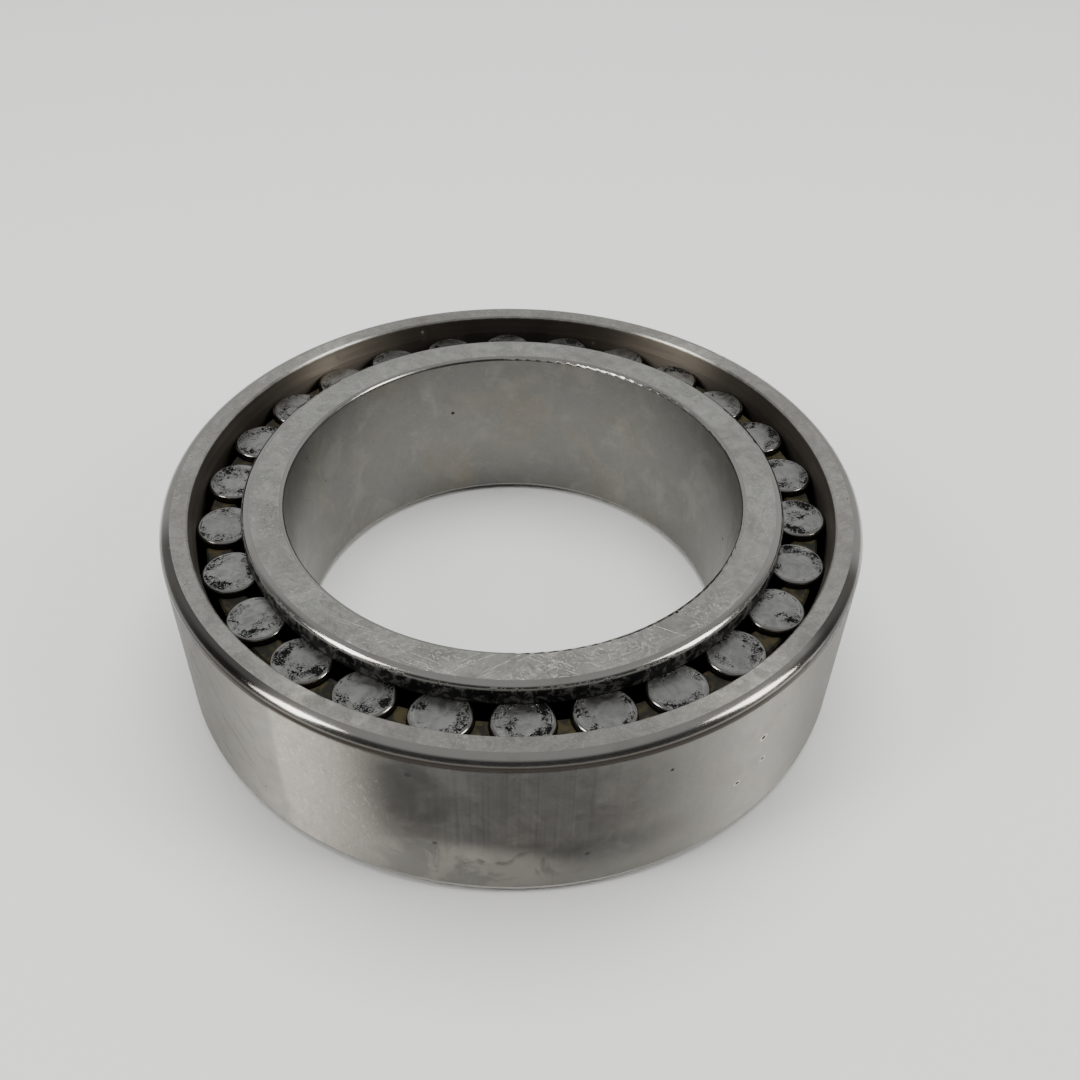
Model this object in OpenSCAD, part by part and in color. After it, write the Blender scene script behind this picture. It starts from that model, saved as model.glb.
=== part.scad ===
// Double-row cylindrical roller bearing: plain outer ring, ribbed inner ring with a
// tapered bore, two comb cages back to back. Axis on Z, standing on z = 0. Units: mm.

/* [Boundary] */
// bore diameter at the small end, at z = 0; every other diameter follows from it outward
bore_d = 70; // [62:1:90]
// taper of the bore: 1 mm on the diameter in this many mm of width
bore_taper = 12; // [12:1:30]
// radial width of the bore's corner at the small end
bore_edge = 1.9; // [1.7:0.05:2.4]
// width of both rings
width = 30; // [28:0.5:36]
// corner radius at the outside diameter
ring_corner = 1.75; // [0.6:0.05:2.2]

/* [Outer ring] */
// wall from the outer raceway to the outside diameter
outer_wall = 5; // [3.6:0.1:8]
// radial depth of the lead-in at each end of the outer raceway
lead_in = 0.65; // [0.2:0.05:1]
// axial length of that lead-in
lead_in_length = 3; // [0.8:0.1:3.2]
// bevel that breaks the edge between the lead-in and the face
edge_break = 0.25; // [0.1:0.05:0.4]

/* [Rollers] */
// rollers in each row
roller_count = 26; // [20:1:28]
// roller diameter
roller_d = 9; // [7.5:0.25:9.5]
// roller length
roller_length = 9; // [7:0.25:9.5]
// corner radius on the roller ends
roller_corner = 0.45; // [0.2:0.05:0.8]
// turn of the upper row about the axis, degrees
row_phase = 8.48; // [0:0.01:13]

/* [Inner ring] */
// wall from the bore to the inner raceway
inner_wall = 5.96; // [4.5:0.02:9]
// width of each side rib
side_rib = 3.3; // [2.2:0.1:4]
// height of the ribs above the inner raceway
rib_height = 1.9; // [1.2:0.02:2.4]
// corner radius on the outer edge of the side ribs
rib_corner = 1.4; // [0.4:0.05:1.8]
// radius of the grinding relief where raceway meets rib
relief = 0.3; // [0.15:0.05:0.5]

/* [Running clearances] */
// radial gap between a roller and each raceway
race_gap = 0.02; // [0.01:0.01:0.06]
// axial gap between a roller end and its rib
end_gap = 0.05; // [0.02:0.01:0.15]
// radial gap around a roller in its pocket
pocket_gap = 0.12; // [0.06:0.02:0.2]
// axial gap between a roller end and the cage ring
cage_end_gap = 0.15; // [0.08:0.01:0.3]
// axial gap between the two cages
cage_split = 0.2; // [0.1:0.05:0.4]

/* [Cages] */
// radial gap from the ribs to the cage ring
cage_rib_gap = 0.6; // [0.3:0.1:1]
// radial gap from the cage ring to the outer raceway
cage_race_gap = 0.9; // [0.5:0.1:1.5]
// how far the prongs stand in from the outside of the cage ring
prong_step = 0.5; // [0.1:0.1:1]
// how far the prongs reach inward past the pitch circle
prong_reach = 0.9; // [0.3:0.1:1.1]
// how far the prong ends stay below the roller ends
prong_short = 1.2; // [0.5:0.1:2.5]
// bevel on the prong ends and the cage ring edge
cage_bevel = 0.35; // [0.1:0.05:0.6]

/* [Hidden] */
$fn = 96;
eps = 0.5;
taper_slope = 1 / (2 * bore_taper);           // growth of the bore radius per mm of height
bore_r0 = bore_d / 2;
bore_r1 = bore_r0 + width * taper_slope;      // radius at the large end, at the top
bore_face_r = bore_r0 + bore_edge;            // the corners reach this radius on both faces
round_low = (bore_face_r - bore_r0) / (1 + taper_slope);
round_top = (bore_face_r - bore_r1) / (1 - taper_slope);
inner_race_r = bore_r0 + inner_wall;
rib_r = inner_race_r + rib_height;
pitch_r = inner_race_r + race_gap + roller_d / 2;
race_d = 2 * (pitch_r + roller_d / 2 + race_gap);
race_r = race_d / 2;
outside_d = race_d + 2 * outer_wall;
track = roller_length + 2 * end_gap;          // raceway length between two ribs
upper_z = width - side_rib - track;           // start of the upper raceway
roller_z = upper_z + end_gap;                 // lower end of the upper rollers
cage_z0 = width / 2 + cage_split / 2;
cage_z1 = roller_z - cage_end_gap;
cage_in = rib_r + cage_rib_gap;
cage_out = race_r - cage_race_gap;
prong_in = max(cage_in, pitch_r - prong_reach);
prong_out = cage_out - prong_step;
prong_z1 = roller_z + roller_length - prong_short;
pocket_r = roller_d / 2 + pocket_gap;
pitch_a = 360 / roller_count;

steel = [0.68, 0.68, 0.66];
roller_steel = [0.78, 0.78, 0.77];
brass = [0.55, 0.45, 0.25];

function two(i) = i < 10 ? str("0", i) : str(i);
function upper_name(i) = str("roller_upper_", two(i));
function lower_name(i) = str("roller_lower_", two(i));

// what a round of radius r takes off a square corner; sx, sy point into the metal
module off_corner(x, y, r, sx, sy) {
    translate([x, y]) difference() {
        translate([sx > 0 ? -eps : -r, sy > 0 ? -eps : -r]) square([r + eps, r + eps]);
        translate([sx * r, sy * r]) circle(r);
    }
}

// what a straight lead-in of depth d and length l, with a bevel b at the face, takes off
module off_lead(x, y, d, l, b, sy) {
    polygon([[x - eps, y - sy * eps], [x + d + b, y - sy * eps], [x + d + b, y], [x + d, y + sy * b],
        [x, y + sy * l], [x - eps, y + sy * l]]);
}

module outer_ring() color(steel) rotate_extrude($fn = 180) difference() {
    translate([race_r, 0]) square([outside_d / 2 - race_r, width]);
    off_corner(outside_d / 2, 0, ring_corner, -1, 1);
    off_corner(outside_d / 2, width, ring_corner, -1, -1);
    off_lead(race_r, 0, lead_in, lead_in_length, edge_break, 1);
    off_lead(race_r, width, lead_in, lead_in_length, edge_break, -1);
}

// one raceway between two ribs, with a relief at each end
module track_cut(z0) {
    translate([inner_race_r, z0]) square([rib_height + eps, track]);
    for (z = [z0 + relief, z0 + track - relief]) translate([inner_race_r, z]) circle(relief);
}

// corner between the bore and a face; it starts at bore_face_r and runs out at the taper
module bore_round(y, r, sy) off_corner(bore_face_r - r, y, r, 1, sy);

module inner_ring() color(steel) rotate_extrude($fn = 180) difference() {
    polygon([[bore_r0, 0], [rib_r, 0], [rib_r, width], [bore_r1, width]]);
    bore_round(0, round_low, 1);
    bore_round(width, round_top, -1);
    off_corner(rib_r, 0, rib_corner, -1, 1);
    off_corner(rib_r, width, rib_corner, -1, -1);
    track_cut(upper_z);
    track_cut(side_rib);
}

module roller() color(roller_steel) rotate_extrude($fn = 72) difference() {
    square([roller_d / 2, roller_length]);
    off_corner(roller_d / 2, 0, roller_corner, -1, 1);
    off_corner(roller_d / 2, roller_length, roller_corner, -1, -1);
}

// comb cage: a ring over the middle rib with a prong in every space between rollers
module cage_profile() {
    polygon([[cage_in, cage_z0], [cage_out - cage_bevel, cage_z0], [cage_out, cage_z0 + cage_bevel],
        [cage_out, cage_z1], [cage_in, cage_z1]]);
}

module prong_profile() {
    polygon([[prong_in, cage_z1 - cage_bevel], [prong_out, cage_z1 - cage_bevel],
        [prong_out, prong_z1 - cage_bevel], [prong_out - cage_bevel, prong_z1],
        [prong_in + cage_bevel, prong_z1], [prong_in, prong_z1 - cage_bevel]]);
}

module prongs() difference() {
    rotate_extrude($fn = 180) prong_profile();
    for (i = [0:roller_count - 1]) rotate([0, 0, i * pitch_a]) translate([pitch_r, 0, cage_z0])
        cylinder(r = pocket_r, h = width);
}

module comb_cage() color(brass) union() {
    rotate_extrude($fn = 180) cage_profile();
    prongs();
}

// the lower row mirrors the upper one, half a pitch further round
module upper_row() rotate([0, 0, row_phase]) children();
module lower_row() translate([0, 0, width]) mirror([0, 0, 1])
    rotate([0, 0, row_phase + pitch_a / 2]) children();

module placed_roller(i) rotate([0, 0, (i - 1) * pitch_a]) translate([pitch_r, 0, roller_z]) roller();

module upper_cage() upper_row() comb_cage();
module lower_cage() lower_row() comb_cage();

outer_ring();
inner_ring();
upper_cage();
lower_cage();
for (i = [1:roller_count])
    upper_row() placed_roller(i);
for (i = [1:roller_count])
    lower_row() placed_roller(i);
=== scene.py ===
import math

import bpy
from mathutils import Matrix, Vector

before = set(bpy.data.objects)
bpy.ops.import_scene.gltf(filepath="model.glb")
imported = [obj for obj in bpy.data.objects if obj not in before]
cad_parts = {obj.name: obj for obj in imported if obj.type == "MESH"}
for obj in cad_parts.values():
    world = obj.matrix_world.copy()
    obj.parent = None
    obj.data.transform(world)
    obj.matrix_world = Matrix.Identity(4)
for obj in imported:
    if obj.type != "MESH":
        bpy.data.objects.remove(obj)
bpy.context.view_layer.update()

MM = 0.001               # one mm in metres

# ---------------------------------------------------------------- sizes, mm

OUTER_R = 55.0
RING_CORNER = 1.75       # round at the outside diameter
RACE_R = 50.0            # outer raceway
OPENING_R = 50.9         # outer ring's opening, where it meets a face
BORE_R = 35.0            # bore at z = 0
BORE_SLOPE = 1 / 24      # what the bore's radius gains per mm of height
BORE_FACE_R = 36.9       # where the bore's edge meets the upper face
RIB_R = 42.86            # inner ring's ribs at its two faces
RIB_CORNER = 1.4
SIDE_RIB = 3.3           # height of a rib
WIDTH = 30.0
PITCH_R = 45.48          # the rollers' centres
ROLLER_R = 4.5
ROLLER_CORNER = 0.45
ROLLER_TOP = 26.65       # upper end of the upper row
ROLLER_COUNT = 26        # in one row
ROW_PHASE = math.radians(8.48)       # azimuth of roller_upper_01
PITCH = 2 * math.pi / ROLLER_COUNT   # angle between neighbours; the lower row sits half of it on

EDGE = 0.04              # softness of a border between two finishes
FACE_REACH = 0.03        # a point this close to the height of a face lies on it

# ---------------------------------------------------------------- finishes

# near black: real dirt, grease and pits, and also painted shade on the inner ring's rib side
GRIME_AND_SHADE = (0.0045, 0.0045, 0.005)
BUMP_STRENGTH = 0.6
RING_BUMP = 0.02         # mm; also the cages'
ROLLER_BUMP = 0.015      # mm
RING_SPECULAR = 0.15     # also the cages'
ROLLER_SPECULAR = 0.05

# ground steel; tones are for the flat faces, the wall and the rounds between them. The wall's darker tone
# and the rounds' slightly darker one are painted shade on the same steel
OUTER_TONES = ((0.47, 0.46, 0.42), (0.275, 0.269, 0.250), (0.36, 0.35, 0.325))
INNER_TONES = ((0.46, 0.455, 0.42), (0.185, 0.184, 0.172), (0.38, 0.37, 0.345))
STEEL_ROUGH = 0.34
GRIME_AND_SHADE_ROUGH = 0.62
OLD_FILM = (0.26, 0.235, 0.195)
SCRATCH_PALE = (0.74, 0.73, 0.69)
CHIP_PALE = (0.76, 0.75, 0.70)
DENT_SHADE = (0.16, 0.15, 0.135)

# outer ring
RING_ANISOTROPY = 0.92
RING_TURN = 0.25         # a quarter turn from the tangent that runs round the axis
# painted dark reflection on the upper round
CORNER_DARK_REFLECTION = (0.060, 0.056, 0.050)
# a painted dark reflection line round the upper round
ROUND_REFLECTION_LINE = (0.020, 0.0145, 0.011)
# pale and dark upright lines on the wall: painted streaks of reflection
STREAK_SHEEN_PALE = (0.42, 0.41, 0.385)
STREAK_SHEEN_DARK = (0.11, 0.104, 0.10)
# painted dark reflection on the front of the wall
FRONT_DARK_REFLECTION = (0.070, 0.067, 0.065)
# painted reflection of the floor, low on the front of the wall
FLOOR_REFLECTION_PALE = (0.46, 0.44, 0.40)
# painted reflection of the floor on the lowest part of the wall
LOW_FLOOR_REFLECTION = (0.40, 0.39, 0.36)
# lightens the scuff patch: a painted highlight band
SCUFF_SHEEN = (0.60, 0.56, 0.50)
SCUFF_PALE = (0.80, 0.76, 0.70)
SCUFF_DARK = (0.13, 0.12, 0.11)
DRAG = (0.12, 0.115, 0.105)
DING_RIM = (0.66, 0.64, 0.60)
STAIN = (0.20, 0.17, 0.13)
# the outer raceway's dark brown tones: painted shade inside the ring
RACE_DARK = (0.105, 0.093, 0.078)
RACE_PALE = (0.140, 0.122, 0.100)
RACE_ROUGH = 0.50

# soft patches on the outside: azimuth in degrees, height, half its arc, half its height, softness
# two stretches of painted dark reflection on the upper round
CORNER_REFLECTION_LEFT = (-147, WIDTH, 20, 4, 0.25)
CORNER_REFLECTION_RIGHT = (-30, WIDTH, 9, 4, 0.4)
# where the painted reflection streaks are strongest
STREAK_SHEEN_PATCH = (-88, 17, 13, 14, 0.5)
# patches of painted dark reflection on the front of the wall
FRONT_REFLECTION_LEFT = (-104, 21, 8, 10, 0.6)
FRONT_REFLECTION_WIDE = (-88, 20, 17, 14, 0.5)
FRONT_REFLECTION_LOW = (-85, 10, 14, 4.5, 0.8)
# a patch of painted floor reflection below them
FLOOR_REFLECTION_PATCH = (-97, 5.5, 13, 5.5, 0.35)
# the scuff, with a painted highlight band over it
SCUFF_SHEEN_PATCH = (-119, 16, 9, 22, 0.5)
SCUFF_SHEEN_START = math.radians(-126)     # the sharp left edge of the scuff and of its painted highlight band
DRAG_PATCH = (-148, 15, 17, 16, 0.5)
DINGS = ((-51, 19.5, 0.42), (-50, 14.0, 0.34), (-55, 12.2, 0.36))   # azimuth, height, half-width

# inner ring
HAND_PALE = (0.40, 0.385, 0.35)
BORE_BROWN = (0.17, 0.145, 0.105)
# painted shade on the inner raceway between the ribs
TRACK_SHADE = (0.05, 0.048, 0.045)

# rollers
ROLLER_DULL = (0.29, 0.29, 0.275)
ROLLER_PALE = (0.47, 0.47, 0.45)
ROLLER_SHADE = (0.24, 0.235, 0.22)   # a darker roller, and the rounds at its ends
ROLLER_LINE = (0.62, 0.62, 0.60)
# painted shade on the rollers' sides
ROLLER_SIDE_SHADE = (0.08, 0.078, 0.075)
ROLLER_ROUGH = 0.34

# cages
# dark olive: painted shade on the brass
SHADED_BRASS = (0.052, 0.043, 0.022)
# near-black patches over most of the cage
BRASS_BLACK = (0.012, 0.012, 0.010)

# ---------------------------------------------------------------- node graphs


class Graph:
    """A material's nodes. Positions are in mm, in the part's own frame."""

    def __init__(self, name):
        self.mat = bpy.data.materials.new(name)
        self.mat.use_nodes = True
        self.tree = self.mat.node_tree
        self.tree.nodes.clear()
        out = self.tree.nodes.new("ShaderNodeOutputMaterial")
        self.bsdf = self.tree.nodes.new("ShaderNodeBsdfPrincipled")
        self.link(self.bsdf.outputs[0], out.inputs[0])
        place = self.tree.nodes.new("ShaderNodeTexCoord").outputs["Object"]
        self.pos = self.vec("MULTIPLY", place, (1 / MM, 1 / MM, 1 / MM))
        self.x, self.y, self.z = self.split(self.pos)
        self.r = self.length(self.x, self.y)
        self.turn = self.math("ARCTAN2", self.y, self.x)

    def link(self, a, b):
        self.tree.links.new(a, b)

    def put(self, socket, value):
        """Link a socket to another, or set it to a number or a colour."""
        if isinstance(value, bpy.types.NodeSocket):
            self.link(value, socket)
        else:
            socket.default_value = value

    def math(self, op, a, b=None):
        n = self.tree.nodes.new("ShaderNodeMath")
        n.operation = op
        self.put(n.inputs[0], a)
        if b is not None:
            self.put(n.inputs[1], b)
        return n.outputs[0]

    def add(self, a, b):
        return self.math("ADD", a, b)

    def sub(self, a, b):
        return self.math("SUBTRACT", a, b)

    def mul(self, a, b):
        return self.math("MULTIPLY", a, b)

    def either(self, a, b):
        return self.math("MAXIMUM", a, b)

    def rest(self, mask):
        """What the mask leaves: 1 where it is 0, and 0 where it is 1."""
        return self.sub(1.0, mask)

    def length(self, a, b):
        return self.math("SQRT", self.add(self.mul(a, a), self.mul(b, b)))

    def vec(self, op, a, b):
        n = self.tree.nodes.new("ShaderNodeVectorMath")
        n.operation = op
        self.put(n.inputs[0], a)
        self.put(n.inputs[1], b)
        return n.outputs[0]

    def split(self, v):
        n = self.tree.nodes.new("ShaderNodeSeparateXYZ")
        self.put(n.inputs[0], v)
        return n.outputs

    def join(self, x, y, z):
        n = self.tree.nodes.new("ShaderNodeCombineXYZ")
        for i, v in enumerate((x, y, z)):
            self.put(n.inputs[i], v)
        return n.outputs[0]

    def noise(self, size, detail=3.0, rough=0.55, warp=0.0, at=None):
        """Soft noise whose features are about size mm across."""
        n = self.tree.nodes.new("ShaderNodeTexNoise")
        self.put(n.inputs["Vector"], self.pos if at is None else at)
        n.inputs["Scale"].default_value = 1.0 / size
        n.inputs["Detail"].default_value = detail
        n.inputs["Roughness"].default_value = rough
        n.inputs["Distortion"].default_value = warp
        return n.outputs["Fac"]

    def cells(self, size):
        """Distance to the nearest of a scatter of points about size mm apart."""
        n = self.tree.nodes.new("ShaderNodeTexVoronoi")
        self.put(n.inputs["Vector"], self.pos)
        n.inputs["Scale"].default_value = 1.0 / size
        return n.outputs["Distance"]

    def step(self, value, lo, hi, a=0.0, b=1.0):
        """a below lo, b above hi, smooth between."""
        n = self.tree.nodes.new("ShaderNodeMapRange")
        n.interpolation_type = "SMOOTHSTEP"
        self.put(n.inputs["Value"], value)
        n.inputs["From Min"].default_value = lo
        n.inputs["From Max"].default_value = hi
        n.inputs["To Min"].default_value = a
        n.inputs["To Max"].default_value = b
        return n.outputs["Result"]

    def below(self, value, edge, soft=EDGE):
        return self.step(value, edge - soft, edge + soft, 1.0, 0.0)

    def above(self, value, edge, soft=EDGE):
        return self.step(value, edge - soft, edge + soft)

    def within(self, value, lo, hi, soft=EDGE):
        return self.mul(self.above(value, lo, soft), self.below(value, hi, soft))

    def mix(self, fac, a, b):
        """Colour a where fac is 0, colour b where it is 1."""
        n = self.tree.nodes.new("ShaderNodeMix")
        n.data_type = "RGBA"
        self.put(n.inputs[0], fac)
        for socket, value in ((n.inputs[6], a), (n.inputs[7], b)):
            self.put(socket, (*value, 1.0) if isinstance(value, tuple) else value)
        return n.outputs[2]

    def tint(self, color, mask, share, other):
        """The colour, with a share of another one inside the mask."""
        return self.mix(self.mul(mask, share), color, other)

    def blend(self, fac, a, b):
        """Number a where fac is 0, number b where it is 1."""
        n = self.tree.nodes.new("ShaderNodeMix")
        n.data_type = "FLOAT"
        self.put(n.inputs[0], fac)
        self.put(n.inputs[2], a)
        self.put(n.inputs[3], b)
        return n.outputs[0]

    def at_ends(self):
        """1 at the height of either face of the bearing."""
        return self.either(self.above(self.z, WIDTH - FACE_REACH), self.below(self.z, FACE_REACH))

    def scratches(self, angle, width, length, share):
        """Fine lines across the faces, all near one direction."""
        c, s = math.cos(angle), math.sin(angle)
        along = self.add(self.mul(self.x, c), self.mul(self.y, s))
        across = self.sub(self.mul(self.y, c), self.mul(self.x, s))
        at = self.join(self.mul(along, 1 / length), self.mul(across, 1 / width), self.mul(self.z, 0.2))
        line = self.noise(1.0, 1.0, 0.4, 0.35, at)
        return self.step(line, share, share + 0.03)

    def pits(self, size, dot, share):
        """Small dark dots of uneven size, scattered."""
        spread = self.noise(size * 1.3, 2.0, 0.7)
        width = self.mul(self.step(spread, share, share + 0.12), dot)
        return self.step(self.sub(self.cells(size), width), -0.03, 0.02, 1.0, 0.0)

    def spot(self, azimuth, height, half_arc, half_height, blur):
        """1 inside a soft oval patch on the outer ring's outside. Sizes in mm, azimuth in degrees."""
        off = self.math("SINE", self.mul(self.sub(self.turn, math.radians(azimuth)), 0.5))
        u = self.mul(off, 2 * OUTER_R / half_arc)
        v = self.mul(self.sub(self.z, height), 1 / half_height)
        return self.step(self.length(u, v), 1.0 - blur, 1.0 + blur, 1.0, 0.0)

    def ring_normal(self, radius, corner, width):
        """The true normal of a ring's outside, a wall with two rounds. Further in, the mesh's own."""
        out = self.either(self.sub(self.r, radius - corner), 0.001)      # never zero, so never a null vector
        top = self.either(self.sub(self.z, width - corner), 0.0)
        low = self.math("MINIMUM", self.sub(self.z, corner), 0.0)
        share = self.math("DIVIDE", out, self.r)
        own = self.join(self.mul(self.x, share), self.mul(self.y, share), self.add(top, low))
        turned = self.tree.nodes.new("ShaderNodeVectorTransform")
        turned.vector_type = "NORMAL"
        turned.convert_from = "OBJECT"
        turned.convert_to = "WORLD"
        self.link(own, turned.inputs[0])
        mesh = self.tree.nodes.new("ShaderNodeNewGeometry")
        n = self.tree.nodes.new("ShaderNodeMix")
        n.data_type = "VECTOR"
        self.link(self.above(self.r, radius - corner - 0.2, 0.1), n.inputs[0])
        self.link(mesh.outputs["Normal"], n.inputs[4])
        self.link(turned.outputs[0], n.inputs[5])
        return n.outputs[1]

    def stretch_highlights(self, amount, rotation):
        self.bsdf.inputs["Anisotropic"].default_value = amount
        self.bsdf.inputs["Anisotropic Rotation"].default_value = rotation
        tangent = self.tree.nodes.new("ShaderNodeTangent")
        tangent.direction_type = "RADIAL"
        tangent.axis = "Z"
        self.link(tangent.outputs[0], self.bsdf.inputs["Tangent"])

    def finish(self, color, rough, metal, height, depth, normal=None):
        """Wire everything up; depth is the bump's distance in mm."""
        self.put(self.bsdf.inputs["Base Color"], color)
        self.put(self.bsdf.inputs["Roughness"], rough)
        self.put(self.bsdf.inputs["Metallic"], metal)
        bump = self.tree.nodes.new("ShaderNodeBump")
        bump.inputs["Strength"].default_value = BUMP_STRENGTH
        bump.inputs["Distance"].default_value = depth * MM
        self.put(bump.inputs["Height"], height)
        if normal is not None:
            self.link(normal, bump.inputs["Normal"])
        self.link(bump.outputs[0], self.bsdf.inputs["Normal"])
        return self.mat


def toned(color, k):
    return tuple(c * k for c in color)


# ---------------------------------------------------------------- ground steel


def ground_steel(g, face, wall, corner, tones, dirt_and_shade):
    """Worn ground steel: smeared faces, a wall with round-running grinding marks, smoother rounds.

    face, wall and corner are masks of where the three tones go, and the last argument is a mask of dirt and
    painted shade besides the pits.
    """
    tone_face, tone_wall, tone_corner = tones
    smear = g.noise(5.0, 5.0, 0.65, 1.8)
    film = g.noise(14.0, 4.0, 0.6, 1.0)
    fine = g.noise(0.35, 2.0, 0.6)
    lines = g.scratches(0.5, 0.10, 9.0, 0.70)
    lines = g.either(lines, g.scratches(1.9, 0.08, 6.0, 0.72))
    lines = g.either(lines, g.scratches(2.7, 0.12, 13.0, 0.71))
    chip = g.mul(g.step(g.noise(1.3, 4.0, 0.75, 2.8), 0.55, 0.60), g.step(g.noise(8.0, 2.0), 0.45, 0.56))
    dent = g.mul(g.step(g.noise(0.8, 4.0, 0.75, 2.0), 0.58, 0.62), g.step(g.noise(7.0, 2.0), 0.50, 0.60))
    grind = g.noise(1.0, 2.0, 0.6, 0.0, g.join(g.mul(g.turn, 2.0), g.mul(g.r, 0.2), g.mul(g.z, 9.0)))
    pits = g.either(g.pits(4.2, 0.075, 0.52), g.pits(8.0, 0.055, 0.46))
    dark = g.either(pits, dirt_and_shade)

    coarse = g.step(smear, 0.36, 0.64)
    crisp = g.step(g.noise(0.8, 4.0, 0.8, 1.4), 0.38, 0.62)
    wear = g.add(g.mul(coarse, 0.6), g.mul(crisp, 0.4))
    flat_color = g.mix(wear, toned(tone_face, 0.74), toned(tone_face, 1.20))
    # the wall and the rounds take darker tones of the same steel: painted shade
    wall_color = g.mix(wear, toned(tone_wall, 0.90), toned(tone_wall, 1.08))
    color = g.mix(wall, flat_color, wall_color)
    color = g.mix(corner, color, tone_corner)
    color = g.tint(color, g.step(film, 0.44, 0.66), 0.28, OLD_FILM)
    color = g.tint(color, g.mul(lines, face), 0.42, SCRATCH_PALE)
    color = g.tint(color, g.mul(chip, face), 0.50, CHIP_PALE)
    color = g.tint(color, g.mul(dent, face), 0.55, DENT_SHADE)
    # near black over pits and dirt, and over the painted shade on the inner ring's rib side
    color = g.mix(dark, color, GRIME_AND_SHADE)

    rough = g.add(STEEL_ROUGH, g.mul(g.sub(smear, 0.5), 0.36))
    rough = g.add(rough, g.mul(g.sub(fine, 0.5), 0.10))
    rough = g.blend(corner, rough, g.add(0.10, g.mul(smear, 0.10)))
    rough = g.blend(dark, rough, GRIME_AND_SHADE_ROUGH)

    height = g.add(g.mul(fine, 0.25), g.mul(g.mul(grind, wall), 0.9))
    height = g.add(height, g.mul(g.noise(1.3, 3.0, 0.6, 1.0), g.add(g.mul(face, 1.6), 0.3)))
    height = g.sub(height, g.mul(g.either(lines, g.either(chip, dent)), g.mul(face, 1.6)))
    height = g.sub(height, g.mul(pits, 1.5))
    return color, rough, g.rest(g.mul(dark, 0.9)), height


# ---------------------------------------------------------------- outer ring


def corner_reflections(g, corner, color):
    """Painted dark reflections on the upper corner: on two stretches of it, and in a line all the way round
    it.
    """
    # two stretches of the upper round darkened: painted dark reflection
    film = g.either(g.spot(*CORNER_REFLECTION_LEFT), g.spot(*CORNER_REFLECTION_RIGHT))
    color = g.tint(color, g.mul(corner, film), 0.80, CORNER_DARK_REFLECTION)
    # a near-black line all the way round the upper round: painted dark reflection
    reflected_line = g.mul(g.above(g.r, OUTER_R - 0.9), g.within(g.z, WIDTH - 2.0, WIDTH - 1.0, 0.25))
    return g.tint(color, reflected_line, 0.95, ROUND_REFLECTION_LINE)


def upright_sheen_streaks(g, barrel, color):
    """Fine upright pale and dark lines, strongest in one patch: painted streaks of reflection."""
    streak_at = g.join(g.mul(g.turn, OUTER_R * 1.7), g.mul(g.z, 0.012), 0.0)
    streak = g.sub(g.noise(1.0, 2.0, 0.7, 0.0, streak_at), 0.5)
    strength = g.mul(barrel, g.add(0.20, g.mul(g.spot(*STREAK_SHEEN_PATCH), 0.80)))
    color = g.mix(g.mul(g.step(streak, 0.02, 0.20), g.mul(strength, 0.20)), color, STREAK_SHEEN_PALE)
    return g.mix(g.mul(g.step(streak, -0.02, -0.20), g.mul(strength, 0.28)), color, STREAK_SHEEN_DARK)


def front_reflections(g, barrel, color):
    """A patch of painted dark reflection on the front of the wall, and a paler painted reflection of the
    floor below it. Gives their two masks as well.
    """
    cloud = g.noise(7.0, 4.0, 0.6, 0.6)
    dark_sheen = g.either(g.spot(*FRONT_REFLECTION_LEFT), g.mul(g.spot(*FRONT_REFLECTION_WIDE), 0.75))
    dark_sheen = g.either(dark_sheen, g.mul(g.spot(*FRONT_REFLECTION_LOW), 0.9))
    dark_sheen = g.mul(g.mul(barrel, dark_sheen), g.step(cloud, 0.30, 0.55, 0.7, 1.0))
    floor_sheen = g.mul(g.mul(barrel, g.spot(*FLOOR_REFLECTION_PATCH)), g.step(cloud, 0.38, 0.50))
    # darkened and lightened: painted reflections
    color = g.tint(color, dark_sheen, 0.80, FRONT_DARK_REFLECTION)
    return g.tint(color, floor_sheen, 0.80, FLOOR_REFLECTION_PALE), dark_sheen, floor_sheen


def scuff_sheen_and_drag(g, barrel, color):
    """A scuff lightened into a painted highlight band with a sharp left edge, and slanting drag marks
    further left.
    """
    scuff_sheen = g.mul(barrel, g.mul(g.spot(*SCUFF_SHEEN_PATCH), g.above(g.turn, SCUFF_SHEEN_START, 0.012)))
    # the patch is lightened as a painted highlight band; the pale and dark speckle below are the scuff's own
    # marks
    color = g.tint(color, scuff_sheen, 0.32, SCUFF_SHEEN)
    grain = g.noise(0.55, 4.0, 0.8, 1.2, g.vec("MULTIPLY", g.pos, (1, 1, 0.5)))
    color = g.tint(color, g.mul(scuff_sheen, g.step(grain, 0.54, 0.66)), 0.34, SCUFF_PALE)
    color = g.tint(color, g.mul(scuff_sheen, g.step(grain, 0.42, 0.34)), 0.35, SCUFF_DARK)
    slant = g.mul(g.add(g.z, g.mul(g.turn, OUTER_R)), 0.7)
    drag = g.noise(1.0, 3.0, 0.6, 0.6, g.join(g.mul(g.turn, 14.0), slant, 0.0))
    drag = g.mul(g.mul(barrel, g.spot(*DRAG_PATCH)), g.step(drag, 0.52, 0.66))
    return g.tint(color, drag, 0.45, DRAG)


def cut_dings(g, barrel, color):
    """Small dings with a bright rim: the colour, and the bump's height that they cut in."""
    height = 0.0
    for azimuth, level, size in DINGS:
        rim = g.mul(barrel, g.spot(azimuth, level, size * 1.7, size * 1.4, 0.25))
        pit = g.mul(barrel, g.spot(azimuth, level, size, size * 0.8, 0.25))
        color = g.tint(color, rim, 0.55, DING_RIM)
        color = g.mix(pit, color, GRIME_AND_SHADE)
        height = g.sub(height, g.mul(pit, 2.0))
    return color, height


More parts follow.
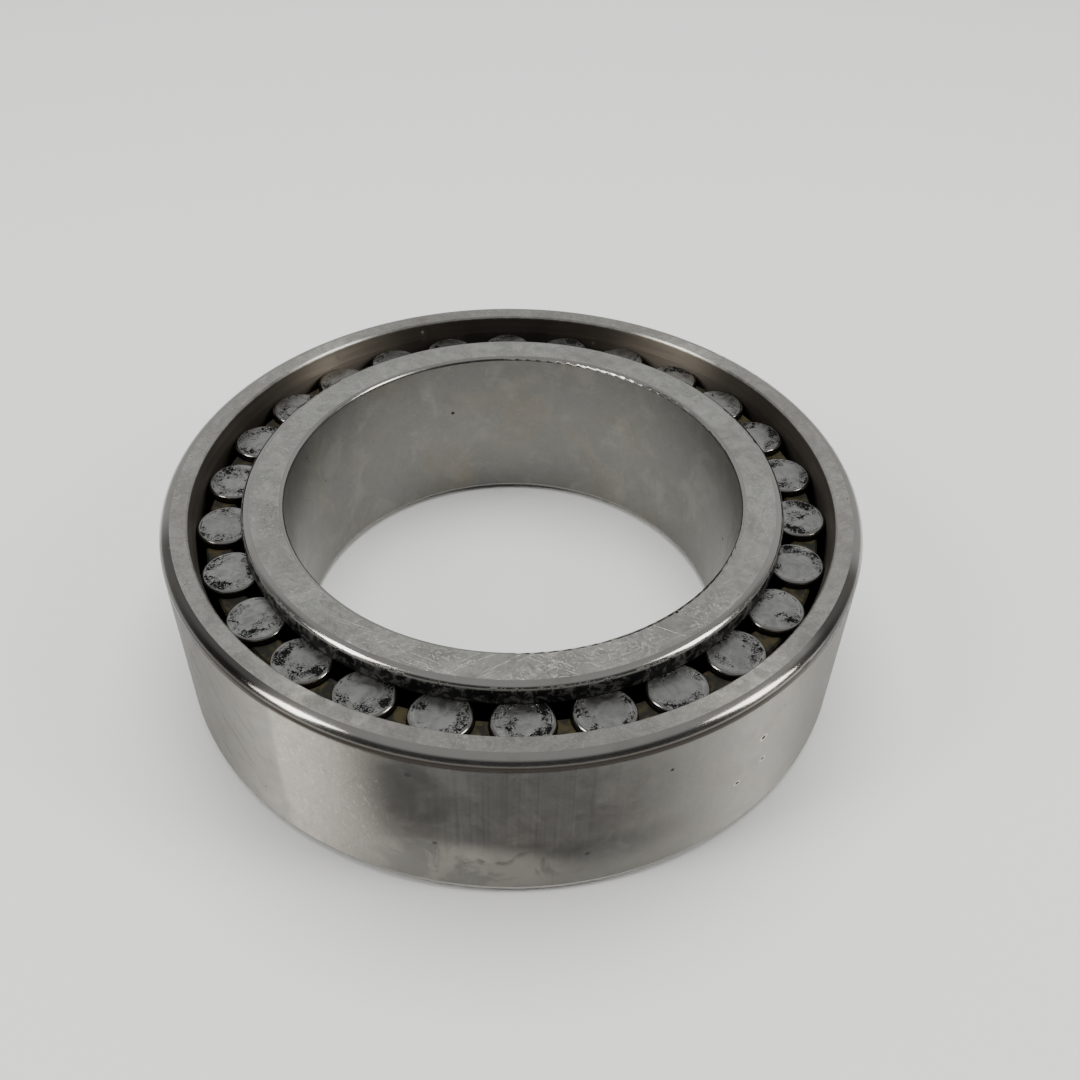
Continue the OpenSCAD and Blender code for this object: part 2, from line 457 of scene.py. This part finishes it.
def outer_ring_material():
    """The outer ring. Only the dings are in its bump: the ground steel's own relief isn't used here."""
    g = Graph("outer_ring_ground_steel")
    g.bsdf.inputs["Specular IOR Level"].default_value = RING_SPECULAR
    end = g.at_ends()
    face = g.mul(end, g.within(g.r, OPENING_R, OUTER_R - RING_CORNER))
    barrel = g.mul(g.above(g.r, OUTER_R - 0.6, 0.2), g.within(g.z, RING_CORNER, WIDTH - RING_CORNER))
    race = g.mul(g.below(g.r, RACE_R + 0.62, 0.05), g.rest(end))
    corner = g.mul(g.above(g.r, OUTER_R - RING_CORNER), g.rest(barrel))
    color, rough, metal, _ = ground_steel(g, face, barrel, corner, OUTER_TONES, 0.0)

    color = corner_reflections(g, corner, color)
    color = upright_sheen_streaks(g, barrel, color)
    color, dark_sheen, floor_sheen = front_reflections(g, barrel, color)
    # the lowest part of the wall is lightened: painted reflection of the floor
    low = g.mul(barrel, g.below(g.z, 6.5, 4.5))
    color = g.tint(color, low, 0.25, LOW_FLOOR_REFLECTION)
    color = scuff_sheen_and_drag(g, barrel, color)
    color, height = cut_dings(g, barrel, color)
    stain = g.mul(barrel, g.step(g.noise(11.0, 4.0, 0.65, 1.2), 0.58, 0.72))
    color = g.tint(color, stain, 0.30, STAIN)
    rough = g.add(rough, g.mul(g.either(floor_sheen, g.mul(dark_sheen, 0.6)), 0.08))
    rough = g.add(rough, g.mul(barrel, 0.16))

    # the raceway is painted dark brown with a mottle: painted shade inside the ring
    race_mottle = g.noise(1.0, 3.0, 0.6, 0.2, g.join(g.mul(g.turn, 2.2), g.mul(g.z, 0.55), 0.0))
    color = g.mix(race, color, g.mix(g.step(race_mottle, 0.35, 0.68), RACE_DARK, RACE_PALE))
    rough = g.blend(race, rough, RACE_ROUGH)
    g.stretch_highlights(RING_ANISOTROPY, RING_TURN)
    return g.finish(color, rough, metal, height, RING_BUMP, g.ring_normal(OUTER_R, RING_CORNER, WIDTH))


# ---------------------------------------------------------------- inner ring


def rib_dirt_and_shade(g, rib_side):
    """Painted shade over the rib's whole side, near black, and dirt in clumps along its edge."""
    edge = g.mul(g.above(g.r, RIB_R - 0.34, 0.16), g.step(g.noise(0.7, 4.0, 0.75, 0.8), 0.47, 0.56))
    # the side is darkened all over: painted shade
    side = g.step(g.noise(1.6, 4.0, 0.75, 0.8), 0.42, 0.52, 0.84, 1.0)
    side = g.either(side, g.below(g.z, ROLLER_TOP + 0.5, 0.4))
    return g.either(g.mul(edge, g.step(g.noise(5.0, 2.0), 0.46, 0.56)), g.mul(rib_side, side))


def inner_ring_material():
    g = Graph("inner_ring_ground_steel")
    g.bsdf.inputs["Specular IOR Level"].default_value = RING_SPECULAR
    face = g.mul(g.at_ends(), g.within(g.r, BORE_FACE_R, RIB_R - RIB_CORNER))
    past = g.sub(g.r, g.add(BORE_R, g.mul(g.z, BORE_SLOPE)))
    bore = g.mul(g.below(past, 0.10, 0.06), g.below(g.r, BORE_FACE_R, 0.1))
    rib_side = g.above(g.r, RIB_R - 0.22, 0.12)
    rounds = g.either(g.above(g.r, RIB_R - RIB_CORNER), g.below(g.r, BORE_FACE_R))
    corner = g.mul(rounds, g.rest(g.either(bore, rib_side)))
    color, rough, metal, height = ground_steel(g, face, bore, corner, INNER_TONES, rib_dirt_and_shade(g, rib_side))

    hand = g.mul(bore, g.step(g.noise(6.0, 4.0, 0.6, 0.5), 0.48, 0.70))
    color = g.tint(color, hand, 0.18, HAND_PALE)
    brown = g.mul(bore, g.step(g.noise(12.0, 4.0, 0.6, 0.4), 0.48, 0.70))
    color = g.tint(color, brown, 0.30, BORE_BROWN)
    # the inner raceway between the ribs is painted near black: painted shade under the rollers
    track_shade = g.mul(g.within(g.z, SIDE_RIB, WIDTH - SIDE_RIB), g.within(g.r, BORE_FACE_R + 1.1, RIB_R - 0.3))
    color = g.mix(track_shade, color, TRACK_SHADE)
    return g.finish(color, rough, metal, height, RING_BUMP)


# ---------------------------------------------------------------- rollers and cages


def roller_grease(g, own_r, flat):
    """Black grease on a roller's end: flecks and curls in clumps, and parts of a circle near the rim."""
    near_rim = g.within(own_r, 2.3, 4.05, 0.35)
    where = g.add(g.mul(g.sub(g.noise(3.2, 2.0, 0.5), 0.5), 0.95), g.mul(near_rim, 0.13))
    fleck = g.step(g.add(g.noise(0.55, 3.0, 0.7, 1.4), where), 0.685, 0.70)
    curl = g.math("ABSOLUTE", g.sub(g.noise(0.95, 2.0, 0.6, 2.2), 0.5))
    curl = g.mul(g.step(curl, 0.012, 0.024, 1.0, 0.0), g.step(where, 0.075, 0.10))
    arc = g.mul(g.within(own_r, 3.66, 3.84, 0.04), g.step(g.noise(1.8, 3.0, 0.7), 0.55, 0.58))
    return g.either(g.mul(g.either(fleck, curl), flat), arc)


def roller_material(name, phase):
    """One material for a whole row: it works out the nearest roller's centre from the azimuth."""
    g = Graph(name)
    g.bsdf.inputs["Specular IOR Level"].default_value = ROLLER_SPECULAR
    step_no = g.math("ROUND", g.mul(g.sub(g.turn, phase), 1 / PITCH))
    centre = g.add(g.mul(step_no, PITCH), phase)
    dx = g.sub(g.x, g.mul(g.math("COSINE", centre), PITCH_R))
    dy = g.sub(g.y, g.mul(g.math("SINE", centre), PITCH_R))
    own_r = g.length(dx, dy)
    flat = g.below(own_r, ROLLER_R - ROLLER_CORNER, 0.03)
    side = g.above(own_r, ROLLER_R - 0.05, 0.03)
    smear = g.noise(2.4, 4.0, 0.65, 1.6)
    own_tone = g.noise(1.0, 0.0, 0.5, 0.0, g.join(g.mul(step_no, 3.7), 0.5, 0.5))
    dark = roller_grease(g, own_r, flat)

    color = g.mix(g.step(smear, 0.32, 0.68), ROLLER_DULL, ROLLER_PALE)
    color = g.mix(g.step(own_tone, 0.30, 0.70, 0.0, 0.30), color, ROLLER_SHADE)
    color = g.tint(color, g.within(own_r, 3.50, 3.62, 0.05), 0.35, ROLLER_LINE)
    color = g.mix(g.rest(flat), color, ROLLER_SHADE)
    # the roller's side is painted near black: painted shade between the rollers
    color = g.mix(side, color, ROLLER_SIDE_SHADE)
    color = g.mix(dark, color, GRIME_AND_SHADE)

    rough = g.add(ROLLER_ROUGH, g.mul(g.sub(smear, 0.5), 0.42))
    rough = g.blend(g.mul(g.rest(flat), g.rest(side)), rough, 0.20)
    rough = g.blend(side, rough, 0.28)
    rough = g.blend(dark, rough, 0.6)
    relief = g.add(g.mul(g.noise(0.22, 2.0, 0.6), 0.3), g.mul(g.noise(2.8, 1.0, 0.4, 1.0), 2.5))
    height = g.sub(relief, g.mul(dark, 0.9))
    return g.finish(color, rough, g.rest(g.mul(dark, 0.95)), height, ROLLER_BUMP)


def cage_material():
    """Turned brass, painted dark olive as painted shade, with near-black patches over most of it."""
    g = Graph("cage_shaded_brass")
    g.bsdf.inputs["Specular IOR Level"].default_value = RING_SPECULAR
    film = g.step(g.noise(2.4, 4.0, 0.65, 1.0), 0.34, 0.58)
    turned = g.noise(1.0, 1.0, 0.5, 0.0, g.join(g.mul(g.r, 7.0), g.turn, g.z))
    # dark olive brass as painted shade, and near-black patches
    color = g.mix(film, SHADED_BRASS, BRASS_BLACK)
    rough = g.blend(film, 0.55, 0.45)
    metal = g.blend(film, 0.4, 0.05)
    height = g.add(g.mul(g.noise(0.3, 3.0, 0.6), 0.4), g.mul(turned, 0.5))
    return g.finish(color, rough, metal, height, RING_BUMP)


# ---------------------------------------------------------------- dressing the nodes


def dress(node, material):
    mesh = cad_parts[node].data
    if not mesh.materials:
        mesh.materials.append(material)
    for i in range(len(mesh.materials)):
        mesh.materials[i] = material


dress("outer_ring", outer_ring_material())
dress("inner_ring", inner_ring_material())
cage = cage_material()
dress("upper_cage", cage)
dress("lower_cage", cage)
for row, phase in (("upper", ROW_PHASE), ("lower", ROW_PHASE + PITCH / 2)):
    steel = roller_material("roller_steel_" + row, phase)
    for i in range(1, ROLLER_COUNT + 1):
        dress("roller_%s_%02d" % (row, i), steel)

# ---------------------------------------------------------------- floor

FLOOR_HALF = 1.5         # metres
FLOOR_COLOR = (0.68, 0.685, 0.68, 1)
FLOOR_ROUGH = 0.45


def pale_floor():
    """A level square at z = 0."""
    mesh = bpy.data.meshes.new("floor")
    quarters = ((-1, -1), (1, -1), (1, 1), (-1, 1))
    mesh.from_pydata([(sx * FLOOR_HALF, sy * FLOOR_HALF, 0) for sx, sy in quarters], [], [(0, 1, 2, 3)])
    plane = bpy.data.objects.new("floor", mesh)
    bpy.context.scene.collection.objects.link(plane)
    paint = bpy.data.materials.new("floor_pale")
    paint.use_nodes = True
    shader = paint.node_tree.nodes["Principled BSDF"]
    shader.inputs["Base Color"].default_value = FLOOR_COLOR
    shader.inputs["Roughness"].default_value = FLOOR_ROUGH
    mesh.materials.append(paint)
    return plane


floor = pale_floor()

# ---------------------------------------------------------------- light

LAMP_AIM = Vector((0, 0, 0.015))     # metres: half the bearing's width up its axis
WINDOW_SIZE = (0.22, 0.40)           # metres
WINDOW_TINT = (1.0, 0.98, 0.94)
CEILING_SIZE = (0.9, 0.9)            # metres
CEILING_TINT = (1.0, 0.995, 0.98)

SKY_COLOR = (0.975, 0.985, 1.0, 1)
WORLD_DIM = 0.060        # behind the camera, low down
WORLD_SIDE = 0.10        # to the left and the right
WORLD_BACK = 0.66        # behind the bearing
WORLD_TOP = 0.52         # straight overhead


def softbox(name, azimuth, elevation, distance, size, power, tint, in_gloss=True):
    """A rectangular light aimed at the bearing from that azimuth (0 is +X) and elevation, in degrees."""
    data = bpy.data.lights.new(name, "AREA")
    data.shape = "RECTANGLE"
    data.size, data.size_y = size
    data.energy = power
    data.color = tint
    lamp = bpy.data.objects.new(name, data)
    a, e = math.radians(azimuth), math.radians(elevation)
    outward = Vector((math.cos(a) * math.cos(e), math.sin(a) * math.cos(e), math.sin(e)))
    lamp.location = LAMP_AIM + distance * outward
    lamp.rotation_euler = (LAMP_AIM - lamp.location).to_track_quat("-Z", "Y").to_euler()
    lamp.visible_glossy = in_gloss
    bpy.context.scene.collection.objects.link(lamp)


def studio_world():
    """A room that is bright behind the bearing and overhead, and dark behind the camera."""
    world = bpy.data.worlds.new("studio")
    world.use_nodes = True
    sky = world.node_tree

    def ramp(socket, low, high, start, end):
        n = sky.nodes.new("ShaderNodeMapRange")
        n.interpolation_type = "SMOOTHSTEP"
        n.inputs["From Min"].default_value = low
        n.inputs["From Max"].default_value = high
        n.inputs["To Max"].default_value = end
        if isinstance(start, float):
            n.inputs["To Min"].default_value = start
        else:
            sky.links.new(start, n.inputs["To Min"])
        sky.links.new(socket, n.inputs["Value"])
        return n.outputs["Result"]

    toward = sky.nodes.new("ShaderNodeTexCoord")
    parts = sky.nodes.new("ShaderNodeSeparateXYZ")
    sky.links.new(toward.outputs["Generated"], parts.inputs[0])
    front = ramp(parts.outputs["Y"], -0.80, -0.30, WORLD_DIM, WORLD_SIDE)
    around = ramp(parts.outputs["Y"], 0.0, 0.55, front, WORLD_BACK)
    level = ramp(parts.outputs["Z"], 0.60, 0.84, around, WORLD_TOP)
    background = sky.nodes["Background"]
    background.inputs[0].default_value = SKY_COLOR
    sky.links.new(level, background.inputs[1])
    bpy.context.scene.world = world


softbox("window_left", 202, 37, 0.8, WINDOW_SIZE, 3.6, WINDOW_TINT)
softbox("window_right", -14, 35, 0.8, WINDOW_SIZE, 3.2, WINDOW_TINT)
softbox("ceiling", 80, 78, 1.1, CEILING_SIZE, 18.5, CEILING_TINT, in_gloss=False)
studio_world()

# ---------------------------------------------------------------- camera

CAM_DISTANCE = 0.18835   # metres
CAM_ELEVATION = math.radians(41.917)
CAM_YAW = math.radians(2.071)
CAM_ROLL = math.radians(1.634)
CAM_AIM = Vector((4.407, 0.056, 17.603)) * MM
CAM_LENS = 37.598
CAM_SENSOR = 36.0
CAM_NEAR = 0.01          # metres


def photo_camera():
    """The photo's own view, as fitted to its edges."""
    cos_e, sin_e = math.cos(CAM_ELEVATION), math.sin(CAM_ELEVATION)
    forward = Vector((math.sin(CAM_YAW) * cos_e, math.cos(CAM_YAW) * cos_e, -sin_e))
    level = Vector((math.cos(CAM_YAW), -math.sin(CAM_YAW), 0))
    rise = level.cross(forward)
    right = math.cos(CAM_ROLL) * level + math.sin(CAM_ROLL) * rise
    up = -math.sin(CAM_ROLL) * level + math.cos(CAM_ROLL) * rise
    data = bpy.data.cameras.new("camera")
    data.lens = CAM_LENS
    data.sensor_width = CAM_SENSOR
    data.clip_start = CAM_NEAR
    camera = bpy.data.objects.new("camera", data)
    turn = Matrix((right, up, -forward)).transposed().to_4x4()
    camera.matrix_world = Matrix.Translation(CAM_AIM - forward * CAM_DISTANCE) @ turn
    bpy.context.scene.collection.objects.link(camera)
    bpy.context.scene.camera = camera


photo_camera()
